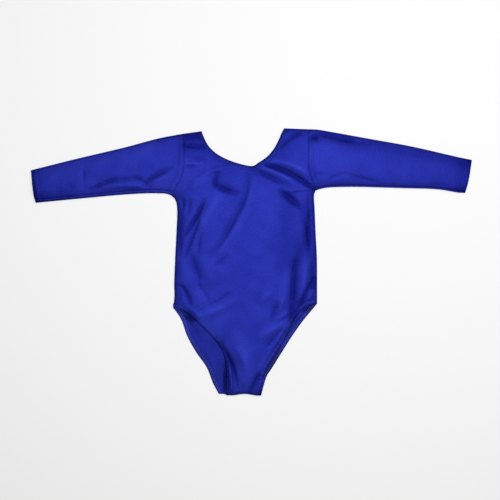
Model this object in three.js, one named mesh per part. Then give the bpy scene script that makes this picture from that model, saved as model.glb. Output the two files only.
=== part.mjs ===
// Child's leotard with three-quarter sleeves, laid out flat with its front up.
// Millimetres. +X is to the right as the front is seen, +Y is towards the neck and +Z is up.
// The origin is under the middle of the outline, on the surface that the garment lies on.
import * as THREE from 'three';

// Cloth, seams and hems
const clothWall = 1.2; // one layer of knit
const hemWall = 1.7; // a turned hem with its elastic
const seamGap = 0.3; // between two pieces that are sewn together
const layerGap = 0.35; // between front and back where they are held together
const neckHem = 7;
const legHem = 7;
const cuffHem = 11;
const rimRound = 1.2; // how far in from a closed edge the wall reaches its full thickness
const rimShare = 0.5; // the share of the wall that is left at a closed edge

// How far the front stands off the back
const bodyLoft = 4.2; // in the middle of a wide stretch
const loftReach = 11; // how fast the loft grows away from a closed edge
const softness = 0.8; // how softly a trough ends where it meets the back
const seamReach = 4; // how far in from a closed edge the two layers still press on each other
const topPress = 0.5; // the share of the loft that the shoulders and the tops of the sleeves take away
const topReach = 24;
const legPress = 0.5; // the share of the loft that the leg elastic takes away
const neckPress = 0.4;
const pressReach = 12;
const backNeckDrop = 4; // the back neckline lies this much lower than the front one

// Corners where seams and edges meet
const neck = { left: [-84.5, 222.3], right: [55.5, 227.2] };
const shoulder = { left: [-115.5, 218], right: [97.7, 225.6] };
const armpit = { left: [-135.5, 112.6], right: [109, 121.4] };
const hip = { left: [-133, -77.4], right: [111.6, -71] };
const crotch = { left: [-43, -226.2], right: [16.6, -226.8] };
const backCrotch = { left: [-55.5, -224.2], right: crotch.right };
const cuffTop = { left: [-374.6, 156], right: [374.6, 173.6] };
const cuffBottom = { left: [-366.4, 100.6], right: [363.2, 117.4] };

// Edges, as the points that each smooth line passes through
const neckline = [
  neck.left, [-80.5, 211.5], [-72.5, 197], [-59, 184], [-38, 173], [-14, 165.4], [3, 163.4],
  [12.5, 169.2], [25.5, 178], [36.5, 190], [44.8, 204.3], [51.5, 219.5], neck.right,
];
const sides = {
  left: {
    armhole: [
      armpit.left, [-129.8, 124.5], [-120.8, 140], [-115.6, 158], [-114.8, 190], shoulder.left,
    ],
    side: [
      hip.left, [-130.8, -58], [-131.2, -40], [-129.4, 10], [-127, 58], [-126.3, 92], [-129.4, 106],
      armpit.left,
    ],
    frontLeg: [
      hip.left, [-113, -85], [-94, -100.5], [-77, -116], [-60.5, -135], [-48.5, -154.5], [-43.8, -180],
      [-43, -205], crotch.left,
    ],
    backLeg: [
      hip.left, [-119.5, -97.5], [-109.3, -125.5], [-94.3, -152.7], [-75.6, -180], [-65, -206.5],
      backCrotch.left,
    ],
    sleeveTop: [shoulder.left, [-155.5, 210.6], [-216.5, 194.5], [-298, 175.2], cuffTop.left],
    sleeveBottom: [
      armpit.left, [-144, 115.9], [-160, 116.8], [-178, 116.8], [-216.5, 114.6], [-298, 107.2],
      cuffBottom.left,
    ],
    cuff: [cuffBottom.left, [-369, 109], [-372.8, 136], cuffTop.left],
  },
  right: {
    armhole: [armpit.right, [106.8, 127], [103, 137.5], [97.5, 160], [96.6, 190], shoulder.right],
    side: [hip.right, [111.6, -30], [111.2, 10], [109.4, 45], [107.6, 88], [106.6, 114], armpit.right],
    frontLeg: [
      hip.right, [94, -74.8], [82.5, -84], [72.5, -99], [56, -131.5], [37, -163], [28.3, -176.5],
      [22.4, -190], [19, -207], crotch.right,
    ],
    backLeg: [
      hip.right, [100.2, -84.7], [89, -98.3], [69.5, -125.5], [52.3, -152.7], [35.5, -179.5],
      [26.4, -193.5], [21.8, -207.2], backCrotch.right,
    ],
    sleeveTop: [
      shoulder.right, [112, 225], [130.5, 222], [191.5, 211], [273, 196.2], [354.5, 177.6], cuffTop.right,
    ],
    sleeveBottom: [
      armpit.right, [119, 124.6], [132, 126.6], [171, 127.8], [252.7, 125.7], [318, 123.4], [352, 118],
      cuffBottom.right,
    ],
    cuff: [cuffBottom.right, [368, 136], cuffTop.right],
  },
};
const crotchLine = [crotch.left, [-32, -227], [-12.5, -224.2], [8, -226.2], crotch.right];
const backCrotchLine = [backCrotch.left, ...crotchLine];

// The largest folds of the upper layer. Each runs from one point to the other, bowed sideways by bend
// (to the left of its run), with its half width and its height, which is negative in a trough.
const folds = [
  // the drag lines from the neck to the right armpit
  { from: [22, 169], to: [110, 124], bend: 6, width: 7.5, height: -2.6 },
  { from: [1, 163], to: [74, 127], bend: -2.5, width: 7.5, height: -1.7 },
  // the right side
  { from: [44, 124], to: [92, 80], bend: 3, width: 8, height: -2.2 },
  { from: [98, 117], to: [98, 14], bend: -1.5, width: 8, height: -1.6 },
  // the chest
  { from: [-68, 133], to: [-18, 117], bend: -2, width: 8, height: -2 },
  { from: [-9, 158], to: [-68, 12], bend: 15, width: 8, height: -1.8 },
  { from: [4, 120], to: [-60, 0], bend: 8, width: 9, height: 1.4 },
  { from: [-106, 132], to: [-12, 163], bend: 9, width: 8, height: 0.9 },
  // the drag lines under the left arm
  { from: [-80, 107], to: [-115, 47], bend: -3, width: 7.5, height: -2.2 },
  { from: [-86, 72], to: [-117, 4], bend: -2, width: 7.5, height: -1.6 },
  { from: [-48, 120], to: [-92, 52], bend: -3, width: 8, height: 1.4 },
  { from: [-101, 14], to: [-82, -44], bend: -3, width: 8, height: -1.4 },
  // the left hip
  { from: [-116, -42], to: [-101, -80], bend: 1.8, width: 7.5, height: -1.6 },
  { from: [-30, -48], to: [-78, -78], bend: 2, width: 7.5, height: -0.9 },
  { from: [-24, -62], to: [-96, -95], bend: 3.5, width: 8, height: 1.4 },
  { from: [-74, -118], to: [-22, -226], bend: 11.7, width: 7.5, height: -2 },
  // the right hip
  { from: [86, 24], to: [70, -104], bend: -8, width: 8, height: -2.6 },
  { from: [94, 14], to: [79, -72], bend: 1, width: 8, height: 1.8 },
  { from: [107, -28], to: [70, -98], bend: 0.5, width: 7.5, height: -1.8 },
  { from: [47, -66], to: [33, -106], bend: -1.5, width: 8, height: -1 },
  { from: [66, -100], to: [6, -130], bend: 0, width: 8, height: 1.4 },
  { from: [54, -112], to: [22, -148], bend: 1, width: 8, height: -1.2 },
  // the sleeves and the shoulders
  { from: [-278, 121], to: [-178, 132], bend: 11, width: 7.5, height: -1.6 },
  { from: [-188, 128], to: [-132, 163], bend: 4, width: 7.5, height: -1.7 },
  { from: [128, 138], to: [218, 134], bend: 12, width: 7.5, height: -1.2 },
  { from: [104, 219], to: [180, 203], bend: 0, width: 8, height: -1.4 },
  { from: [97, 224], to: [44, 192], bend: -3, width: 8, height: -1.2 },
  { from: [-118, 206], to: [-74, 201], bend: 0, width: 11, height: -1.6 },
];

// Grid counts: rows follow the edges that a row has to meet, and columns the top edge
const rows = { leg: 15, side: 21, armhole: 12 };
const columns = { shoulder: 4, neck: 17 };
const backRows = { leg: 11, side: 9, armhole: 12 };
const backColumns = { shoulder: 2, neck: 13 };
const sleeveStations = 18;
const sleeveShares = [0, 0.012, 0.05, 0.12, 0.245, 0.37, 0.5, 0.63, 0.755, 0.88, 0.95, 0.988, 1]; // across
const hemAcross = [0, 0.2, 0.6, 1];
const curveSamples = 60;

const smooth = (t) => THREE.MathUtils.smoothstep(t, 0, 1);
const at = ([x, y]) => new THREE.Vector2(x, y);

// A smooth line through points, as a function of the share of its length
function line(points) {
  const curve = new THREE.CatmullRomCurve3(points.map(([x, y]) => new THREE.Vector3(x, y, 0)));
  curve.arcLengthDivisions = 400;
  return (t) => {
    const p = curve.getPointAt(THREE.MathUtils.clamp(t, 0, 1));
    return new THREE.Vector2(p.x, p.y);
  };
}

function lengthOf(edge) {
  let sum = 0;
  for (let i = 0; i < curveSamples; i++) {
    sum += edge(i / curveSamples).distanceTo(edge((i + 1) / curveSamples));
  }
  return sum;
}

const stretch = (edge, from, to) => (t) => edge(from + (to - from) * t);

// The edge moved sideways into the cloth. Its two ends move along the edges that they end on.
function inset(edge, distance, startAlong, endAlong, inward) {
  const step = 0.004;
  const turn = 0.12;
  return (t) => {
    const ahead = edge(Math.min(1, t + step)).sub(edge(Math.max(0, t - step))).normalize();
    const across = new THREE.Vector2(-ahead.y, ahead.x).multiplyScalar(inward);
    const start = 1 - smooth(t / turn);
    const end = 1 - smooth((1 - t) / turn);
    across.multiplyScalar(1 - start - end);
    across.addScaledVector(startAlong, start).addScaledVector(endAlong, end);
    return edge(t).addScaledVector(across.normalize(), distance);
  };
}

// Several edges end to end, each with its own count of grid steps
function chain(...links) {
  const total = links.reduce((sum, [, steps]) => sum + steps, 0);
  return (t) => {
    let before = 0;
    for (const [edge, steps] of links) {
      if (t * total < before + steps - 1e-9) return edge((t * total - before) / steps);
      before += steps;
    }
    return links.at(-1)[0](1);
  };
}

// A surface between four edges, which are met exactly: u runs along bottom and top, v along left and right.
// The shares say how far the bow of the bottom and of the top edge is followed at v.
function patch(bottom, top, left, right, lowShare, highShare) {
  const bow = (edge, u, share) => edge(u).sub(edge(0).lerp(edge(1), u)).multiplyScalar(share);
  return (u, v) => {
    const across = left(v).lerp(right(v), u);
    return across.add(bow(bottom, u, lowShare(v))).add(bow(top, u, highShare(v)));
  };
}

const neckEdge = line(neckline);
const crotchEdge = line(crotchLine);
const backCrotchEdge = line(backCrotchLine);
const edges = {};
for (const [name, tables] of Object.entries(sides)) {
  edges[name] = { shoulder: line([shoulder[name], neck[name]]) };
  for (const [edge, points] of Object.entries(tables)) edges[name][edge] = line(points);
}

// Distances to the edges that hold front and back together, and to the open ones
const polyline = (edge) => Array.from({ length: curveSamples + 1 }, (_, i) => edge(i / curveSamples));
const bothSides = Object.values(edges);
const tops = bothSides.flatMap((side) => [side.shoulder, side.sleeveTop]).map(polyline);
const bottoms = [crotchEdge, ...bothSides.flatMap((side) => [side.sleeveBottom, side.side])];
const closed = [...tops, ...bottoms.map(polyline)];
const legs = bothSides.map((side) => polyline(side.frontLeg));
const necks = [polyline(neckEdge)];

function distance(x, y, lines) {
  let best = Infinity;
  for (const points of lines) {
    for (let i = 0; i + 1 < points.length; i++) {
      const a = points[i];
      const dx = points[i + 1].x - a.x;
      const dy = points[i + 1].y - a.y;
      const t = THREE.MathUtils.clamp(((x - a.x) * dx + (y - a.y) * dy) / (dx * dx + dy * dy), 0, 1);
      best = Math.min(best, Math.hypot(x - a.x - t * dx, y - a.y - t * dy));
    }
  }
  return best;
}

// The height that one fold adds at a point: a bell across it that fades towards both ends
function foldHeight(x, y, { from, to, bend, width, height }) {
  const run = at(to).sub(at(from));
  const length = run.length();
  run.divideScalar(length);
  const along = ((x - from[0]) * run.x + (y - from[1]) * run.y) / length;
  if (along <= 0 || along >= 1) return 0;
  const across = (y - from[1]) * run.x - (x - from[0]) * run.y - bend * 4 * along * (1 - along);
  return height * Math.exp(-((across / width) ** 2)) * Math.sin(Math.PI * along) ** 0.8;
}

// The underside of the upper layer, and how full its wall is near a closed edge
function upperLayer(x, y) {
  const edge = distance(x, y, closed);
  let loft = bodyLoft * (1 - Math.exp(-edge / loftReach));
  loft *= 1 - legPress * Math.exp(-distance(x, y, legs) / pressReach);
  loft *= 1 - neckPress * Math.exp(-distance(x, y, necks) / pressReach);
  loft *= 1 - topPress * Math.exp(-distance(x, y, tops) / topReach);
  const room = smooth(edge / loftReach);
  const folded = loft + room * folds.reduce((sum, fold) => sum + foldHeight(x, y, fold), 0);
  const soft = Math.log1p(Math.exp(folded / softness)) - Math.LN2 * Math.exp(-edge / seamReach);
  const raised = softness * Math.max(0, soft);
  return {
    under: clothWall + layerGap + raised,
    rim: rimShare + (1 - rimShare) * Math.min(1, edge / rimRound),
  };
}

// The lower layer lies flat, and only its rim is rounded up
function lowerLayer(x, y) {
  const edge = distance(x, y, closed);
  return { under: clothWall * (1 - rimShare) * (1 - Math.min(1, edge / rimRound)), top: clothWall };
}

// A closed mesh from points and faces, turned so that its faces point out
function solid(name, points, faces) {
  let volume = 0;
  for (const [a, b, c] of faces) {
    volume += points[a].dot(points[b].clone().cross(points[c]));
  }
  const geometry = new THREE.BufferGeometry().setFromPoints(points);
  geometry.setIndex(faces.flatMap(([a, b, c]) => (volume < 0 ? [a, c, b] : [a, b, c])));
  geometry.computeVertexNormals();
  const mesh = new THREE.Mesh(geometry, knit.clone());
  mesh.name = name;
  return mesh;
}

// A sheet over a grid of the plane: place(u, v) is a point, and heights(point, u, v) its two heights
function sheet(name, us, vs, place, heights) {
  const points = [];
  const faces = [];
  const index = (side, i, j) => (side * vs.length + j) * us.length + i;
  for (const side of ['under', 'top']) {
    for (const v of vs) {
      for (const u of us) {
        const p = place(u, v);
        points.push(new THREE.Vector3(p.x, p.y, heights(p, u, v)[side]));
      }
    }
  }
  const quad = (a, b, c, d) => faces.push([a, b, c], [a, c, d]);
  for (let j = 0; j + 1 < vs.length; j++) {
    for (let i = 0; i + 1 < us.length; i++) {
      quad(index(1, i, j), index(1, i + 1, j), index(1, i + 1, j + 1), index(1, i, j + 1));
      quad(index(0, i, j), index(0, i, j + 1), index(0, i + 1, j + 1), index(0, i + 1, j));
    }
  }
  const rim = [];
  for (let i = 0; i < us.length; i++) rim.push([i, 0]);
  for (let j = 1; j < vs.length; j++) rim.push([us.length - 1, j]);
  for (let i = us.length - 2; i >= 0; i--) rim.push([i, vs.length - 1]);
  for (let j = vs.length - 2; j > 0; j--) rim.push([0, j]);
  rim.forEach(([i, j], k) => {
    const [i2, j2] = rim[(k + 1) % rim.length];
    quad(index(0, i, j), index(0, i2, j2), index(1, i2, j2), index(1, i, j));
  });
  return solid(name, points, faces);
}

const steps = (count) => Array.from({ length: count + 1 }, (_, i) => i / count);

// A flattened tube: rings of an outer and an inner loop, joined at both open ends
function tube(name, stations, place, extraWall) {
  const points = [];
  const faces = [];
  const lift = (p, z) => new THREE.Vector3(p.x, p.y, z);
  const ring = (shares, s, lower, upper) => {
    for (const f of shares) points.push(lower(place(f, s)));
    for (const f of [...shares].reverse()) points.push(upper(place(f, s)));
  };
  for (const s of stations) {
    const width = place(0, s).distanceTo(place(1, s));
    const wallShares = [clothWall / width, (clothWall + 0.8) / width];
    const inner = [...wallShares, ...sleeveShares.slice(2, -2), ...wallShares.map((f) => 1 - f).reverse()];
    ring(sleeveShares, s, (p) => lift(p, lowerLayer(p.x, p.y).under), (p) => {
      const { under, rim } = upperLayer(p.x, p.y);
      return lift(p, under + clothWall * rim + extraWall * (rim - rimShare) / (1 - rimShare));
    });
    ring(inner, s, (p) => lift(p, clothWall), (p) => lift(p, upperLayer(p.x, p.y).under));
  }
  const spots = 2 * sleeveShares.length;
  const index = (station, loop, k) => (station * 2 + loop) * spots + (k % spots);
  const quad = (a, b, c, d) => faces.push([a, b, c], [a, c, d]);
  const last = stations.length - 1;
  for (let k = 0; k < spots; k++) {
    for (let j = 0; j < last; j++) {
      quad(index(j, 0, k), index(j, 0, k + 1), index(j + 1, 0, k + 1), index(j + 1, 0, k));
      quad(index(j, 1, k), index(j + 1, 1, k), index(j + 1, 1, k + 1), index(j, 1, k + 1));
    }
    quad(index(0, 0, k), index(0, 1, k), index(0, 1, k + 1), index(0, 0, k + 1));
    quad(index(last, 0, k), index(last, 0, k + 1), index(last, 1, k + 1), index(last, 1, k));
  }
  return solid(name, points, faces);
}

const knit = new THREE.MeshStandardMaterial({ color: 0x2630a2, roughness: 0.45, metalness: 0 });
const right = new THREE.Vector2(1, 0);
const toNeck = { left: at(neck.left).sub(at(shoulder.left)), right: at(neck.right).sub(at(shoulder.right)) };
const outAlong = (name) => toNeck[name].clone().normalize().negate();
const up = new THREE.Vector2(0, 1);

// One body panel, less its hems: the same steps make the front and the back
function bodyPanel(name, neckTop, bottom, legName, rowCounts, columnCounts, heights) {
  const hemIn = neckHem + seamGap / 2;
  const legIn = legHem + seamGap / 2;
  const edge = (sideName, inward) => {
    const side = edges[sideName];
    const along = right.clone().multiplyScalar(inward);
    const leg = inset(side[legName], legIn, up, along, inward);
    const sideStart = legIn / lengthOf(side.side);
    const armhole = (t) => side.armhole(t).addScaledVector(along, seamGap / 2);
    return chain(
      [(t) => leg(1 - t), rowCounts.leg],
      [stretch(side.side, sideStart, 1), rowCounts.side],
      [armhole, rowCounts.armhole],
    );
  };
  const neckIn = inset(neckTop, hemIn, outAlong('left'), outAlong('right'), -1);
  const shoulderPart = (sideName) => {
    const whole = edges[sideName].shoulder;
    return stretch(whole, seamGap / 2 / lengthOf(whole), 1 - hemIn / lengthOf(whole));
  };
  const rightShoulder = shoulderPart('right');
  const top = chain(
    [shoulderPart('left'), columnCounts.shoulder],
    [neckIn, columnCounts.neck],
    [(t) => rightShoulder(1 - t), columnCounts.shoulder],
  );
  const crotchIn = legIn / lengthOf(bottom);
  const { leg, side, armhole } = rowCounts;
  const belowHip = leg / (leg + side + armhole);
  const lowShare = (v) => Math.max(0, 1 - v / (0.5 * belowHip));
  const highShare = (v) => Math.max(0, (v - belowHip) / (1 - belowHip));
  const base = stretch(bottom, crotchIn, 1 - crotchIn);
  const place = patch(base, top, edge('left', 1), edge('right', -1), lowShare, highShare);
  const us = steps(2 * columnCounts.shoulder + columnCounts.neck);
  const below = steps(leg + side).map((v) => v * (leg + side));
  const above = sleeveShares.slice(1).map((f) => leg + side + f * armhole);
  const vs = [...below, ...above].map((row) => row / (leg + side + armhole));
  return sheet(name, us, vs, place, heights);
}

// A hem strip between an open edge and the stitching, q running in from the edge
function hemStrip(name, edge, width, startAlong, endAlong, inward, count, heights) {
  const inner = inset(edge, width - seamGap / 2, startAlong, endAlong, inward);
  const place = (u, q) => edge(u).lerp(inner(u), q);
  return sheet(name, steps(count), hemAcross, place, heights);
}

// Hem thickness across its width: thin at the turned edge, full in the middle
const hemProfile = (q) => 0.6 + 0.4 * smooth(q / 0.3);
const hemEnds = (u) => smooth(u / 0.1) * smooth((1 - u) / 0.1);
const frontPanelHeights = (p) => {
  const { under, rim } = upperLayer(p.x, p.y);
  return { under, top: under + clothWall * rim };
};
const frontHemHeights = (p, u, q) => {
  const { under, rim } = upperLayer(p.x, p.y);
  return { under, top: under + hemWall * hemProfile(q) * rim };
};
const backPanelHeights = (p) => lowerLayer(p.x, p.y);
const backHemHeights = (p, u, q) => {
  const { under, top } = lowerLayer(p.x, p.y);
  return { under, top: top + (hemWall - clothWall) * hemEnds(u) * hemProfile(q) };
};

// The back neckline: the front one, let down in the middle and joined to the same shoulders
function backNeckEdge(t) {
  const p = neckEdge(t);
  p.y -= backNeckDrop * smooth(t / 0.3) * smooth((1 - t) / 0.3);
  return p;
}

function sleeve(name, group) {
  const side = edges[name];
  const away = name === 'left' ? -1 : 1;
  const armhole = (t) => {
    const p = side.armhole(t);
    p.x += away * seamGap / 2;
    return p;
  };
  const place = patch(armhole, side.cuff, side.sleeveBottom, side.sleeveTop, (v) => 1 - v, (v) => v);
  const length = (lengthOf(side.sleeveBottom) + lengthOf(side.sleeveTop)) / 2;
  const sleeveEnd = 1 - (cuffHem + seamGap / 2) / length;
  const hemStart = 1 - (cuffHem - seamGap / 2) / length;
  const stations = steps(sleeveStations).map((t) => t * sleeveEnd);
  group.add(tube(`sleeve_${name}`, stations, place, 0));
  group.add(tube(`cuff_hem_${name}`, [hemStart, (1 + hemStart) / 2, 1], place, hemWall - clothWall));
}

const leotard = new THREE.Group();
leotard.add(bodyPanel('front_panel', neckEdge, crotchEdge, 'frontLeg', rows, columns, frontPanelHeights));
leotard.add(bodyPanel('back_panel', backNeckEdge, backCrotchEdge, 'backLeg', backRows, backColumns,
  backPanelHeights));
leotard.add(hemStrip('neck_hem_front', neckEdge, neckHem, outAlong('left'), outAlong('right'), -1,
  columns.neck, frontHemHeights));
leotard.add(hemStrip('neck_hem_back', backNeckEdge, neckHem, outAlong('left'), outAlong('right'), -1,
  backColumns.neck, backPanelHeights));
for (const [name, inward] of [['left', 1], ['right', -1]]) {
  const along = right.clone().multiplyScalar(inward);
  const { frontLeg, backLeg } = edges[name];
  leotard.add(hemStrip(`leg_hem_front_${name}`, frontLeg, legHem, up, along, inward, rows.leg,
    frontHemHeights));
  leotard.add(hemStrip(`leg_hem_back_${name}`, backLeg, legHem, up, along, inward, backRows.leg,
    backHemHeights));
  sleeve(name, leotard);
}

export default leotard;
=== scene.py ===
# A child's leotard with three-quarter sleeves, laid out flat, front up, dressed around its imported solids.
# Sizes in the tables are millimetres, and the meshes are made in metres. +Y is towards the neck.
import math
from functools import partial

import bpy
import numpy as np
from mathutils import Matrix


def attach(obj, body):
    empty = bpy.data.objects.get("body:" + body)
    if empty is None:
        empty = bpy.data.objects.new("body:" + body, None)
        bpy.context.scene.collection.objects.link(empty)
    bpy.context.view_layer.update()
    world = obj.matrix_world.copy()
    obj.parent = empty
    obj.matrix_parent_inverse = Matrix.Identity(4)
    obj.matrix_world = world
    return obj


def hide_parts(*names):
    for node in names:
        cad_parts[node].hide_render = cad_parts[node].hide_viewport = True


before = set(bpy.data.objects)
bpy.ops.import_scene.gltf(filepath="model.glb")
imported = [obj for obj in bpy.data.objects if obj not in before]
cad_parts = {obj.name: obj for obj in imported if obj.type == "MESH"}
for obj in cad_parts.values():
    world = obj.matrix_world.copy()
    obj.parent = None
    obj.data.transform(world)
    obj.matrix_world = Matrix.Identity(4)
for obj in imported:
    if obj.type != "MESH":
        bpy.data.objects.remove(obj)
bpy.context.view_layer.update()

MM = 0.001
scene = bpy.context.scene
scene.view_settings.view_transform = "Standard"

# The camera looks straight down on the middle of the picture, which takes in a square of floor
PICTURE_SIDE = 850
PICTURE_MIDDLE = (-2.4, 20.4)
CAMERA_HEIGHT = 2200
SENSOR = 36

# The form that the solids have too: their wall, the gap between the layers, how far the front stands off the
# back (less beside the legs, the neck and the tops of the sleeves), the hems, and the back's lower neckline
SOLID_WALL = 1.2
LAYER_GAP = 0.35
BODY_LOFT, LOFT_REACH = 4.2, 11
LEG_PRESS, NECK_PRESS, PRESS_REACH = 0.5, 0.4, 12
TOP_PRESS, TOP_REACH = 0.5, 24
SOFTNESS, SEAM_REACH = 0.8, 4
NECK_HEM, LEG_HEM, CUFF_HEM = 7, 7, 11
BACK_NECK_DROP = 4

# The cloth itself: the thickness of one layer, how much thicker it is at the hems and the cuffs, and the
# least that is left of it at a groove or an edge
SHELL = 0.8
HEM_RISE = 0.15
CUFF_RISE = 0.4
THINNEST = 0.02

# The back: how far its inside lies above one layer of cloth, the share of a layer that a trough leaves of
# it, and how far in from a closed edge its creases start
BACK_LIFT, BACK_LEAST, BACK_START = 0.25, 0.6, 6

# A folded edge: its level, and how far in from it the cloth is rounded
FOLD_LEVEL = 1.35
EDGE_ROUND = 3.5

# How blunt the bottom of a pinched trough is
PINCH = 0.15

# Corners where seams and edges meet
NECK = {"left": (-84.5, 222.3), "right": (55.5, 227.2)}
SHOULDER = {"left": (-115.5, 218), "right": (97.7, 225.6)}
ARMPIT = {"left": (-135.5, 112.6), "right": (109, 121.4)}
HIP = {"left": (-133, -77.4), "right": (111.6, -71)}
CROTCH = {"left": (-43, -226.2), "right": (16.6, -226.8)}
BACK_CROTCH = {"left": (-55.5, -224.2), "right": CROTCH["right"]}
CUFF_TOP = {"left": (-374.6, 156), "right": (374.6, 173.6)}
CUFF_BOTTOM = {"left": (-366.4, 100.6), "right": (363.2, 117.4)}

# Edges, as the points that each smooth line passes through
NECKLINE = [
    NECK["left"], (-80.5, 211.5), (-72.5, 197), (-59, 184), (-38, 173), (-14, 165.4), (3, 163.4),
    (12.5, 169.2), (25.5, 178), (36.5, 190), (44.8, 204.3), (51.5, 219.5), NECK["right"],
]
CROTCH_LINE = [CROTCH["left"], (-32, -227), (-12.5, -224.2), (8, -226.2), CROTCH["right"]]
SIDES = {
    "left": {
        "armhole": [ARMPIT["left"], (-129.8, 124.5), (-120.8, 140), (-115.6, 158), (-114.8, 190),
                    SHOULDER["left"]],
        "side": [HIP["left"], (-130.8, -58), (-131.2, -40), (-129.4, 10), (-127, 58), (-126.3, 92),
                 (-129.4, 106), ARMPIT["left"]],
        "front_leg": [HIP["left"], (-113, -85), (-94, -100.5), (-77, -116), (-60.5, -135),
                      (-48.5, -154.5), (-43.8, -180), (-43, -205), CROTCH["left"]],
        "back_leg": [HIP["left"], (-119.5, -97.5), (-109.3, -125.5), (-94.3, -152.7), (-75.6, -180),
                     (-65, -206.5), BACK_CROTCH["left"]],
        "sleeve_top": [SHOULDER["left"], (-155.5, 210.6), (-216.5, 194.5), (-298, 175.2),
                       CUFF_TOP["left"]],
        "sleeve_bottom": [ARMPIT["left"], (-144, 115.9), (-160, 116.8), (-178, 116.8), (-216.5, 114.6),
                          (-298, 107.2), CUFF_BOTTOM["left"]],
        "cuff": [CUFF_BOTTOM["left"], (-369, 109), (-372.8, 136), CUFF_TOP["left"]],
    },
    "right": {
        "armhole": [ARMPIT["right"], (106.8, 127), (103, 137.5), (97.5, 160), (96.6, 190),
                    SHOULDER["right"]],
        "side": [HIP["right"], (111.6, -30), (111.2, 10), (109.4, 45), (107.6, 88), (106.6, 114),
                 ARMPIT["right"]],
        "front_leg": [HIP["right"], (94, -74.8), (82.5, -84), (72.5, -99), (56, -131.5), (37, -163),
                      (28.3, -176.5), (22.4, -190), (19, -207), CROTCH["right"]],
        "back_leg": [HIP["right"], (100.2, -84.7), (89, -98.3), (69.5, -125.5), (52.3, -152.7),
                     (35.5, -179.5), (26.4, -193.5), (21.8, -207.2), BACK_CROTCH["right"]],
        "sleeve_top": [SHOULDER["right"], (112, 225), (130.5, 222), (191.5, 211), (273, 196.2),
                       (354.5, 177.6), CUFF_TOP["right"]],
        "sleeve_bottom": [ARMPIT["right"], (119, 124.6), (132, 126.6), (171, 127.8), (252.7, 125.7),
                          (318, 123.4), (352, 118), CUFF_BOTTOM["right"]],
        "cuff": [CUFF_BOTTOM["right"], (368, 136), CUFF_TOP["right"]],
    },
}

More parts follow.
